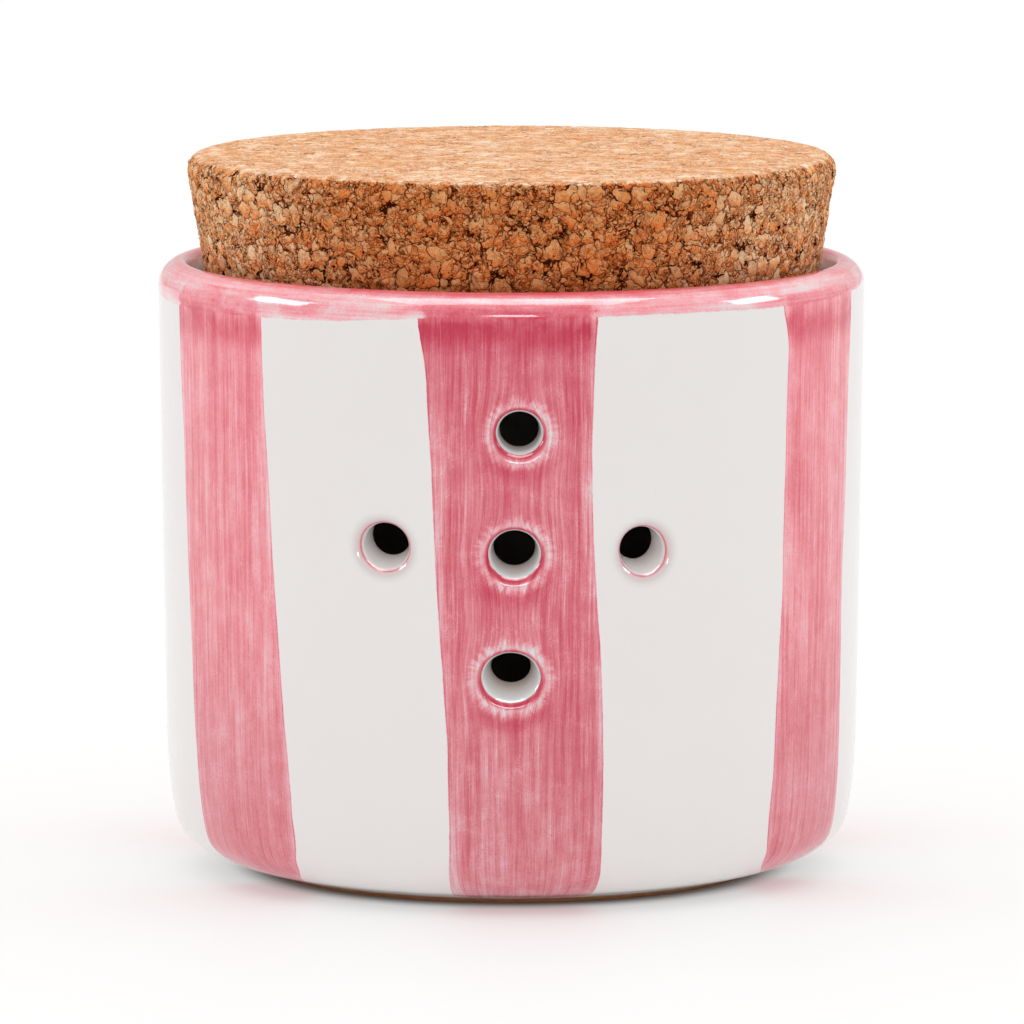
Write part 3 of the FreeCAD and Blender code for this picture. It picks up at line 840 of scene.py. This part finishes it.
    # glaze thins over the edge where it was wiped off the foot
    wipe = g.add(pz, g.mul(g.n1(p, 0.5, 3.0, 0.6), 0.10), g.mul(g.n1(p, 2.0, 2.0, 0.5), 0.04))
    rxy = g.vm("LENGTH", g.xyz(px, py, 0.0))
    on_foot = g.mul(g.step(rxy, 35.6, 36.0), g.step(rxy, 42.9, 42.6))
    bare = g.mul(on_foot, g.step(wipe, 0.98, 0.90))
    halo_foot = g.mul(g.step(rxy, 45.0, 42.8), g.step(rxy, 34.0, 35.8), 0.6)
    paint = g.mix(g.mul(halo_foot, 0.7), paint, lin(190, 160, 140))
    clay_n = g.n1(g.xyz(g.mul(px, 0.5), g.mul(py, 0.5), g.mul(pz, 5.0)), 1.0, 4.0, 0.65)
    clay = g.ramp(g.mad(clay_n, 0.5, 0.5), [
        (0.15, lin(150, 92, 54)), (0.5, lin(202, 136, 88)), (0.85, lin(226, 170, 122))])
    colour = g.mix(bare, paint, clay)
    g.put(bsdf.inputs["Base Color"], colour)

    rough = g.add(0.075, g.mul(g.n1(p, 0.2, 3.0, 0.6), 0.02), g.mul(in_stripe, 0.035), g.mul(grit, 0.012))
    rough = g.fmix(bare, rough, 0.82)
    rough = g.fmix(deep, rough, 0.22)
    g.put(bsdf.inputs["Roughness"], rough)
    g.put(bsdf.inputs["Specular IOR Level"], g.fmix(deep, 0.5, 0.12))
    bsdf.inputs["IOR"].default_value = 1.56

    # relief: faint brush marks under the glaze, orange peel, grain of the clay
    h = g.add(g.mul(g.n1(p, 0.16, 2.0, 0.5), 0.030),
              g.mul(g.n1(p, 0.9, 2.0, 0.5), 0.0022),
              g.mul(in_stripe, hair, 0.0016), g.mul(in_stripe, fine, 0.003), g.mul(in_stripe, 0.006),
              g.mul(in_rim, stroke, 0.004), g.mul(in_rim, stroke2, 0.010))
    h = g.fmix(bare, h, g.mul(g.n1(p, 3.0, 4.0, 0.7), 0.05))
    bump = g.new("ShaderNodeBump")
    bump.inputs["Strength"].default_value = 1.0
    bump.inputs["Distance"].default_value = 0.001
    g.put(bump.inputs["Height"], h)
    g.put(bsdf.inputs["Normal"], bump.outputs[0])
    return mat


jar.data.materials.append(glaze_material())


# =====================================================================
# cork lid
# =====================================================================
CORK_TOP_Z = 121.86
CORK_BOTTOM_Z = 91.86
TAPER = 0.1651
LEAN = math.atan(TAPER)


def cork_radius(zz):
    return 55.20 - (118.9 - zz) * TAPER


def build_cork():
    """Rings of vertices from the middle of the top, over the edge, down the side and to the middle of the underside. Each ring has its own number of columns."""
    rings = []          # (radius, height, columns)
    rt, rb = 2.6, 1.2
    t_top = rt / math.tan((math.pi / 2 - LEAN) / 2)
    t_low = rb / math.tan((math.pi / 2 + LEAN) / 2)
    r_top = cork_radius(CORK_TOP_Z)
    r_low = cork_radius(CORK_BOTTOM_Z)
    flat = r_top - t_top
    for r in np.linspace(0.9, 7.0, 8):
        rings.append((r, CORK_TOP_Z, 60))
    for r in np.linspace(7.9, 14.0, 8):
        rings.append((r, CORK_TOP_Z, 120))
    for r in np.linspace(14.7, 28.0, 20):
        rings.append((r, CORK_TOP_Z, 240))
    for r in np.linspace(28.7, 51.9, 34):
        rings.append((r, CORK_TOP_Z, 480))
    rings.append((flat, CORK_TOP_Z, 960))
    lean = math.degrees(LEAN)
    for k in range(1, 12):
        t = math.radians(90 - (90 + lean) * k / 11)
        rings.append((flat + rt * math.cos(t), CORK_TOP_Z - rt + rt * math.sin(t), 960))
    z_a = CORK_TOP_Z - t_top * math.cos(LEAN)
    for zz in np.linspace(z_a, 103.0, 45)[1:]:
        rings.append((cork_radius(zz), zz, 960))
    z_b = CORK_BOTTOM_Z + t_low * math.cos(LEAN)
    for zz in np.linspace(103.0, z_b, 15)[1:]:
        rings.append((cork_radius(zz), zz, 480))
    flat_b = r_low - t_low
    for k in range(1, 5):
        t = math.radians(-lean - (90 - lean) * k / 4)
        rings.append((flat_b + rb * math.cos(t), CORK_BOTTOM_Z + rb + rb * math.sin(t), 480))
    for r in np.linspace(flat_b, 26.0, 19)[1:]:
        rings.append((r, CORK_BOTTOM_Z, 240))
    for r in np.linspace(26.0, 12.0, 9)[1:]:
        rings.append((r, CORK_BOTTOM_Z, 120))
    for r in np.linspace(12.0, 1.5, 8)[1:]:
        rings.append((r, CORK_BOTTOM_Z, 60))
    verts, start = [(0.0, 0.0, CORK_TOP_Z)], []
    for r, zz, n in rings:
        start.append(len(verts))
        t = 2 * math.pi * np.arange(n) / n
        verts += [(r * math.sin(a), -r * math.cos(a), zz) for a in t]
    tip = len(verts)
    verts.append((0.0, 0.0, CORK_BOTTOM_Z))
    faces = []
    n = rings[0][2]
    for j in range(n):
        faces.append((0, start[0] + j, start[0] + (j + 1) % n))
    for i in range(len(rings) - 1):
        n0, n1 = rings[i][2], rings[i + 1][2]
        a, b = start[i], start[i + 1]
        if n0 == n1:
            for j in range(n0):
                k = (j + 1) % n0
                faces.append((a + j, b + j, b + k, a + k))
        elif n1 == 2 * n0:
            for j in range(n0):
                k = (j + 1) % n0
                m0, m1, m2 = b + 2 * j, b + 2 * j + 1, b + (2 * j + 2) % n1
                faces += [(a + j, m0, m1), (a + j, m1, a + k), (a + k, m1, m2)]
        else:
            for j in range(n1):
                k = (j + 1) % n1
                m0, m1, m2 = a + 2 * j, a + 2 * j + 1, a + (2 * j + 2) % n0
                faces += [(m0, b + j, m1), (m1, b + j, b + k), (m1, b + k, m2)]
    n = rings[-1][2]
    for j in range(n):
        faces.append((start[-1] + j, tip, start[-1] + (j + 1) % n))
    return verts, faces


def cork_pattern(g, p):
    """The granules, as sockets, from a position in millimetres. Used by both the mesh and the material."""
    half = (0.5, 0.5, 0.5)
    w1 = g.vm("SCALE", g.vm("SUBTRACT", g.noise(p, 0.36, 2.0, 0.5, colour=True), half), scale=3.3)
    w2 = g.vm("SCALE", g.vm("SUBTRACT", g.noise(p, 1.1, 1.0, 0.5, colour=True), half), scale=1.15)
    w3 = g.vm("SCALE", g.vm("SUBTRACT", g.noise(p, 3.6, 1.0, 0.5, colour=True), half), scale=0.20)
    q = g.vm("ADD", g.vm("ADD", g.vm("ADD", p, w1), w2), w3)
    ka, kb = 0.42, 0.92
    fa = g.cells(q, ka)
    ea = g.mul(g.cells(q, ka, "DISTANCE_TO_EDGE").outputs["Distance"], 1.0 / ka)
    da = g.mul(fa.outputs["Distance"], 1.0 / ka)
    ra, rb_, rc_ = g.split(fa.outputs["Color"])
    qb = g.vm("ADD", q, (17.3, 5.1, 31.7))
    fb = g.cells(qb, kb)
    eb = g.mul(g.cells(qb, kb, "DISTANCE_TO_EDGE").outputs["Distance"], 1.0 / kb)
    db = g.mul(fb.outputs["Distance"], 1.0 / kb)
    sa, sb, sc = g.split(fb.outputs["Color"])
    crumb = g.step(rc_, 0.40, 0.48)                    # 1 where a granule is crumbs, not one chip
    # facets: each chip is a little tilted
    away = g.vm("SUBTRACT", q, fa.outputs["Position"])
    tilt = g.vm("DOT_PRODUCT", away, g.vm("SUBTRACT", fa.outputs["Color"], half))
    away_b = g.vm("SUBTRACT", qb, fb.outputs["Position"])
    tilt_b = g.vm("DOT_PRODUCT", away_b, g.vm("SUBTRACT", fb.outputs["Color"], half))
    # how wide the cracks between chips are, from place to place
    wide = g.step(g.n1(p, 0.75, 3.0, 0.6), -0.35, 0.45)
    # a crack opens out where three chips meet
    meet_a = g.step(da, 1.45, 1.95)
    meet_b = g.step(db, 0.66, 0.90)
    crack_a = g.step(ea, g.add(g.mul(wide, 0.05), g.mul(meet_a, 0.08), -0.02),
                     g.add(g.mul(wide, 0.10), g.mul(meet_a, 0.11), 0.065), 1.0, 0.0)
    crack_b = g.mul(g.step(eb, g.add(g.mul(wide, 0.04), g.mul(meet_b, 0.05), -0.03),
                           g.add(g.mul(wide, 0.07), g.mul(meet_b, 0.06), 0.045), 1.0, 0.0), crumb)
    # holes where three chips meet
    ragged = g.n1(p, 1.9, 2.0, 0.6)
    hole_a = g.mul(g.step(g.mad(ragged, 0.16, da), 1.94, 2.04), g.step(ea, 0.08, 0.19, 1.0, 0.0))
    hole_b = g.mul(g.step(g.mad(ragged, 0.08, db), 0.83, 0.91), g.step(eb, 0.05, 0.14, 1.0, 0.0), crumb,
                   g.step(wide, 0.2, 0.7))
    return {"q": q, "ea": ea, "ra": ra, "rb": rb_, "rc": rc_, "eb": eb, "sa": sa, "sb": sb, "sc": sc,
            "da": da, "db": db, "crumb": crumb, "tilt": tilt, "tilt_b": tilt_b, "ca": fa.outputs["Color"],
            "cb": fb.outputs["Color"], "crack_a": crack_a, "crack_b": crack_b,
            # the height within each chip and crumb, used for their painted light and shade
            "hole": g.m("MAXIMUM", hole_a, hole_b), "wide": wide, "painted_chip_shading": g.split(away)[2],
            "painted_crumb_shading": g.split(away_b)[2]}


def cork_pits(g, p):
    """0 on the surface, 1 in a pit."""
    w = g.vm("SCALE", g.vm("SUBTRACT", g.noise(p, 1.3, 2.0, 0.6, colour=True), (0.5, 0.5, 0.5)), scale=1.5)
    v = g.cells(g.vm("ADD", g.vm("ADD", p, w), (3.0, 41.0, 7.7)), 0.70)
    r0, r1, r2 = g.split(v.outputs["Color"])
    size = g.mul(g.step(r0, 0.58, 1.0, smooth=False), 0.23)
    return g.step(v.outputs["Distance"], g.add(size, -0.08), g.add(size, 0.03), 1.0, 0.0)


def displace_cork(ob):
    tree = bpy.data.node_groups.new("cork_relief", "GeometryNodeTree")
    tree.interface.new_socket("Geometry", in_out="INPUT", socket_type="NodeSocketGeometry")
    tree.interface.new_socket("Geometry", in_out="OUTPUT", socket_type="NodeSocketGeometry")
    g = Nodes(tree)
    gin, gout = g.new("NodeGroupInput"), g.new("NodeGroupOutput")
    pos = g.new("GeometryNodeInputPosition").outputs[0]
    nor = g.new("GeometryNodeInputNormal").outputs[0]
    p = g.vm("SCALE", pos, scale=1000.0)
    px, py, pz = g.split(p)
    c = cork_pattern(g, p)
    pit = cork_pits(g, p)
    dome_a = g.mul(g.step(c["ea"], 0.0, 0.75), g.sub(1.0, c["crumb"]))
    dome_b = g.mul(g.step(c["eb"], 0.0, 0.40), c["crumb"])
    h = g.add(g.mul(dome_a, 0.13), g.mul(dome_b, 0.10), g.mul(c["crack_a"], -0.08), g.mul(c["crack_b"], -0.05),
              g.mul(c["hole"], -0.22), g.mul(pit, -0.20),
              g.mad(c["rb"], 0.20, -0.20), g.mul(g.mad(c["sc"], 0.16, -0.08), c["crumb"]),
              g.mul(g.m("MINIMUM", g.m("MAXIMUM", c["tilt"], -0.35), 0.35), 0.34),
              g.mul(g.mul(g.m("MINIMUM", g.m("MAXIMUM", c["tilt_b"], -0.3), 0.3), 0.45), c["crumb"]),
              g.mul(g.n1(p, 0.13, 2.0, 0.5), 0.08), g.mul(g.n1(p, 1.6, 3.0, 0.6), 0.06), -0.30)
    # the faces are sanded, the top most of all
    nz = g.split(nor)[2]
    top = g.step(nz, 0.55, 0.97)
    keep = g.fmix(top, 1.0, 0.22)
    seat = g.step(pz, 97.6, 99.2)
    keep = g.mul(keep, g.fmix(seat, 0.55, 1.0))
    h = g.m("MINIMUM", g.mul(h, keep), -0.01)
    offset = g.vm("SCALE", nor, scale=g.mul(h, 0.001))
    setp = g.new("GeometryNodeSetPosition")
    tree.links.new(gin.outputs[0], setp.inputs["Geometry"])
    g.put(setp.inputs["Offset"], offset)
    tree.links.new(setp.outputs[0], gout.inputs[0])
    mod = ob.modifiers.new("relief", "NODES")
    mod.node_group = tree
    dg = bpy.context.evaluated_depsgraph_get()
    made = bpy.data.meshes.new_from_object(ob.evaluated_get(dg))
    ob.modifiers.clear()
    old = ob.data
    ob.data = made
    bpy.data.meshes.remove(old)
    bpy.data.node_groups.remove(tree)
    ob.data.polygons.foreach_set("use_smooth", np.ones(len(ob.data.polygons), bool))
    ob.data.update()


def cork_material():
    mat, g, bsdf = new_material("agglomerated_cork")
    p = object_mm(g)
    px, py, pz = g.split(p)
    c = cork_pattern(g, p)
    pit = cork_pits(g, p)
    tcn = g.new("ShaderNodeTexCoord")
    nz = g.split(tcn.outputs["Normal"])[2]
    top = g.step(g.mad(g.n1(p, 1.4, 3.0, 0.62), 0.14, nz), 0.68, 0.86)
    # flakes: a grain in each chip that runs its own way, and folds across it
    chip = g.new("ShaderNodeMix", data_type="VECTOR", clamp_factor=True)
    g.put(chip.inputs[0], c["crumb"])
    g.put(chip.inputs[4], c["ca"])
    g.put(chip.inputs[5], c["cb"])
    turn = g.new("ShaderNodeVectorRotate", rotation_type="EULER_XYZ")
    g.put(turn.inputs["Vector"], c["q"])
    g.put(turn.inputs["Rotation"], g.vm("SCALE", chip.outputs[1], scale=6.3))
    tx, ty, tz = g.split(turn.outputs[0])
    flake = g.n1(g.xyz(g.mul(tx, 0.7), g.mul(ty, 3.8), g.mul(tz, 1.3)), 1.0, 3.0, 0.6)
    fold_v = g.mad(g.n1(c["q"], 0.60, 2.0, 0.5), 2.6, g.mul(tx, 1.7))
    fold = g.m("SINE", g.mul(fold_v, 6.283))
    fold_on = g.step(g.n1(p, 0.40, 2.0, 0.5), -0.30, 0.30, 0.15, 1.0)
    line = g.mul(g.step(fold, -0.30, -0.95), fold_on)
    fold = g.mul(fold, fold_on)
    crease = g.mul(g.step(g.m("ABSOLUTE", g.m("SINE", g.mul(g.mad(g.n1(p, 0.9, 2.0, 0.5), 1.5, g.mul(fold_v, 0.8)), 3.1416))),
                          0.03, 0.26, 1.0, 0.0), g.step(g.n1(p, 0.8, 2.0, 0.5), -0.05, 0.35))
    grain = g.n1(p, 4.2, 3.0, 0.68)
    lump = g.n1(p, 1.4, 3.0, 0.62)
    wide = g.n1(p, 0.15, 3.0, 0.6)
    # tone of each chip, with painted light and shade: lighter on its upper part, darker on its lower, and a painted
    # highlight along its upper edge
    painted_chip_shading = g.fmix(c["crumb"], g.mul(c["painted_chip_shading"], 0.16), g.mul(c["painted_crumb_shading"], 0.34))
    painted_chip_shading = g.m("MINIMUM", g.m("MAXIMUM", painted_chip_shading, -0.20), 0.20)
    edge_near = g.fmix(c["crumb"], c["ea"], g.m("MINIMUM", c["eb"], c["ea"]))
    lip = g.mul(g.hump(edge_near, 0.08, 0.20, 0.42), g.step(painted_chip_shading, 0.0, 0.12))
    tone = g.fmix(c["crumb"], c["ra"], g.add(g.mul(c["sa"], 0.75), g.mul(c["ra"], 0.25)))
    tone = g.add(g.mad(tone, 0.42, 0.54), g.mul(flake, 0.42), g.mul(fold, 0.17), g.mul(line, -0.34), g.mul(grain, 0.14),
                 g.mul(lump, 0.22), g.mul(wide, 0.10), g.mul(painted_chip_shading, 1.0), g.mul(lip, 0.38))
    col = g.ramp(tone, [
        (0.02, lin(160, 74, 28)), (0.24, lin(217, 123, 64)), (0.47, lin(247, 158, 96)),
        (0.70, lin(255, 186, 125)), (0.90, lin(255, 210, 160)), (1.0, lin(255, 228, 188))])
    # rust brown binder and thin bark in patches, and darker orange beside the cracks as painted shade of the crevices
    brown_tone_and_crevice_shade = g.add(g.mul(g.step(c["ea"], 0.60, 0.08), 0.60), g.mul(g.mul(g.step(c["eb"], 0.34, 0.05), c["crumb"]), 0.40),
                 g.mul(g.step(g.n1(p, 0.62, 3.0, 0.6), 0.0, 0.42), 0.65))
    brown_tone_and_crevice_shade = g.mul(brown_tone_and_crevice_shade, g.step(lump, -0.6, 0.5, 0.3, 1.0))
    col = g.mix(g.mul(brown_tone_and_crevice_shade, 0.38), col, lin(216, 108, 42))
    # small pale chips, mostly against the cracks
    vc = g.cells(g.vm("ADD", c["q"], (7.7, 13.1, 2.9)), 2.1)
    pick = g.split(vc.outputs["Color"])[0]
    pale = g.mul(g.step(pick, 0.86, 0.90), g.step(vc.outputs["Distance"], 0.50, 0.30), g.step(c["ea"], 1.0, 0.2, 0.25, 1.0))
    col = g.mix(g.mul(pale, 0.75), col, lin(252, 214, 178))
    # cracks and holes, painted dark as shade in the crevices between chips and in the pits
    mc = g.mul(g.cells(g.vm("ADD", c["q"], (7.7, 13.1, 2.9)), 2.1, "DISTANCE_TO_EDGE").outputs["Distance"], 1.0 / 2.1)
    crumbs = g.mul(g.step(mc, 0.0, 0.055, 1.0, 0.0), g.step(g.n1(p, 0.55, 3.0, 0.6), -0.05, 0.35))
    crack = g.m("MAXIMUM", g.m("MAXIMUM", c["crack_a"], g.mul(c["crack_b"], 0.88)),
                g.m("MAXIMUM", g.mul(crumbs, 0.50), g.mul(crease, 0.62)))
    # painted shade: the cracks are painted darker towards the front
    dark = g.mad(g.step(py, 0.0, -46.0), 0.22, g.mad(c["wide"], 0.14, 0.60))
    dark = g.mul(dark, g.step(g.n1(p, 1.15, 3.0, 0.6), -0.42, 0.22, 0.55, 1.25))     # the cracks come and go
    # painted shade: the front of the cork's side is painted darker than its flanks, and its cracks a darker brown
    front_painted_shade = g.mul(g.step(py, -28.0, -52.0), 0.78)
    col = g.mix(front_painted_shade, col, g.mix(1.0, col, (0.72, 0.41, 0.20, 1), "MULTIPLY"))
    side_col = g.mix(g.mul(crack, dark), col, g.mix(front_painted_shade, lin(114, 43, 10), lin(84, 30, 7)))
    dots = g.cells(g.vm("ADD", p, (1.1, 9.3, 4.7)), 1.5)
    dot = g.mul(g.step(g.split(dots.outputs["Color"])[0], 0.54, 1.0, smooth=False), 0.30)
    dot = g.step(dots.outputs["Distance"], g.add(dot, -0.10), dot, 1.0, 0.0)
    holes = g.m("MAXIMUM", g.m("MAXIMUM", c["hole"], pit), g.mul(dot, 0.9))
    side_col = g.mix(g.mul(holes, 0.92), side_col, lin(46, 15, 4))
    # the sanded top is paler and closer, with small pores
    top_tone = g.add(g.mad(tone, 1.0, -0.06), g.mul(g.n1(p, 0.30, 4.0, 0.62), 0.32), g.mul(g.n1(p, 0.13, 3.0, 0.6), 0.34))
    top_col = g.ramp(top_tone, [
        (0.05, lin(196, 124, 74)), (0.27, lin(224, 158, 106)), (0.48, lin(242, 184, 137)),
        (0.70, lin(251, 205, 166)), (0.95, lin(255, 234, 208))])
    top_col = g.mix(g.mul(brown_tone_and_crevice_shade, 0.34), top_col, lin(214, 130, 68))
    top_col = g.mix(g.mul(pale, 0.6), top_col, lin(255, 228, 194))
    # painted shade, milder, in the cracks and pores of the sanded top
    top_col = g.mix(g.mul(crack, g.mul(dark, 0.40)), top_col, lin(170, 90, 42))
    top_col = g.mix(g.mul(g.m("MAXIMUM", g.mul(c["hole"], 0.7), g.mul(pit, 0.9)), 0.72), top_col, lin(132, 64, 26))
    # painted shade: the top is painted darker towards the back and lighter at the front edge
    painted_top_shade = g.step(py, -54.0, -8.0)
    top_col = g.mix(g.mul(painted_top_shade, 0.45), top_col, g.mix(1.0, top_col, (0.90, 0.86, 0.80, 1), "MULTIPLY"))
    col = g.mix(top, side_col, top_col)
    g.put(bsdf.inputs["Base Color"], col)
    g.put(bsdf.inputs["Roughness"], g.add(0.72, g.mul(flake, 0.07), g.mul(crack, 0.15)))
    bsdf.inputs["IOR"].default_value = 1.40
    bsdf.inputs["Specular IOR Level"].default_value = 0.0
    h = g.add(g.mul(flake, 0.045), g.mul(fold, 0.050), g.mul(grain, 0.030), g.mul(lump, 0.07), g.mul(crack, -0.11),
              g.mul(c["hole"], -0.15), g.mul(pit, -0.12), g.mul(pale, 0.05))
    h = g.mul(h, g.fmix(top, 1.0, 0.32))
    bump = g.new("ShaderNodeBump")
    bump.inputs["Strength"].default_value = 1.0
    bump.inputs["Distance"].default_value = 0.001
    g.put(bump.inputs["Height"], h)
    g.put(bsdf.inputs["Normal"], bump.outputs[0])
    return mat


cork_verts, cork_faces = build_cork()
cork = mesh_object("cork_stopper", cork_verts, cork_faces)
displace_cork(cork)
cork.data.materials.append(cork_material())


# =====================================================================
# floor and light
# =====================================================================
def make_floor():
    n = 24
    size = 14.0
    verts, faces = [], []
    for i in range(n + 1):
        for j in range(n + 1):
            verts.append(((i / n - 0.5) * size, (j / n - 0.5) * size, 0.0))
    for i in range(n):
        for j in range(n):
            a = i * (n + 1) + j
            faces.append((a, a + n + 1, a + n + 2, a + 1))
    me = bpy.data.meshes.new("floor")
    me.from_pydata(verts, [], faces)
    ob = bpy.data.objects.new("floor", me)
    scene.collection.objects.link(ob)
    mat, g, bsdf = new_material("white_floor")
    p = object_mm(g)
    bsdf.inputs["Emission Color"].default_value = (1.0, 1.0, 1.0, 1.0)     # a lit table, as for product pictures
    fx, fy, fz = g.split(p)
    from_foot = g.vm("LENGTH", g.xyz(fx, fy, 0.0))
    base = g.mix(g.noise(p, 0.02, 2.0, 0.5), (0.603, 0.610, 0.611, 1), (0.611, 0.618, 0.619, 1))
    # painted shadow colour: the floor is tinted warmer near the foot
    g.put(bsdf.inputs["Base Color"], g.mix(g.step(from_foot, 90.0, 48.0), base, (0.606, 0.608, 0.602, 1)))
    # painted contact shadow: the floor's glow is faded out towards the foot
    g.put(bsdf.inputs["Emission Strength"], g.step(from_foot, 42.2, 49.0, 0.02, 0.32))     # none under the foot
    bsdf.inputs["Roughness"].default_value = 0.6
    bsdf.inputs["IOR"].default_value = 1.3
    bsdf.inputs["Specular IOR Level"].default_value = 0.2
    me.materials.append(mat)
    return ob


floor = make_floor()


def softbox(name, place, target, width, height, radiance, diffuse=True, glossy=True, colour=(1, 1, 1)):
    light = bpy.data.lights.new(name, "AREA")
    light.shape = "RECTANGLE"
    light.size = width
    light.size_y = height
    light.energy = math.pi * width * height * radiance
    light.color = colour
    ob = bpy.data.objects.new(name, light)
    ob.location = place
    ob.rotation_euler = (Vector(target) - Vector(place)).to_track_quat("-Z", "Y").to_euler()
    ob.visible_diffuse = diffuse
    ob.visible_glossy = glossy
    ob.visible_camera = False
    scene.collection.objects.link(ob)
    return ob


MIDDLE = (0.0, 0.0, 0.07)
softbox("over", (0.0, -0.26, 1.15), (0.0, -0.10, 0.0), 1.1, 0.62, 6.5, False, True)


def side_box(name, az_deg, el_deg, dist, width, height, radiance, diffuse, glossy):
    a, e = math.radians(az_deg), math.radians(el_deg)
    d = Vector((math.sin(a) * math.cos(e), -math.cos(a) * math.cos(e), math.sin(e)))
    return softbox(name, Vector(MIDDLE) + d * dist, MIDDLE, width, height, radiance, diffuse, glossy)


side_box("front_gloss", 0.0, 15.0, 1.3, 0.36, 0.14, 14.5, False, True)
side_box("left_gloss", -85.0, 27.0, 1.3, 0.50, 0.34, 12.0, False, True)
side_box("right_gloss", 90.0, 27.0, 1.3, 0.44, 0.34, 11.0, False, True)

world = bpy.data.worlds.new("studio")
scene.world = world
world.use_nodes = True
world.node_tree.nodes.clear()
wg = Nodes(world.node_tree)
wtc = wg.new("ShaderNodeTexCoord")
wx, wy, wz = wg.split(wtc.outputs["Generated"])
side_w = wg.step(wg.m("ABSOLUTE", wx), 0.25, 0.95)
high = wg.step(wz, 0.15, 0.95)
level = wg.add(0.535, wg.mul(wg.step(wy, -0.5, 0.9), 0.16), wg.mul(side_w, wg.mad(high, -0.10, -0.01)),
               wg.mul(high, 0.81))
bg = wg.new("ShaderNodeBackground")
wg.put(bg.inputs["Color"], wg.mix(side_w, (1.0, 0.985, 0.975, 1), (1.0, 1.0, 1.0, 1)))
wg.put(bg.inputs["Strength"], level)
wo = wg.new("ShaderNodeOutputWorld")
world.node_tree.links.new(bg.outputs[0], wo.inputs[0])


# =====================================================================
# who carries what
# =====================================================================
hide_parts("jar")
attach(jar, "jar")
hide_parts("cork_lid")
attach(cork, "lid")
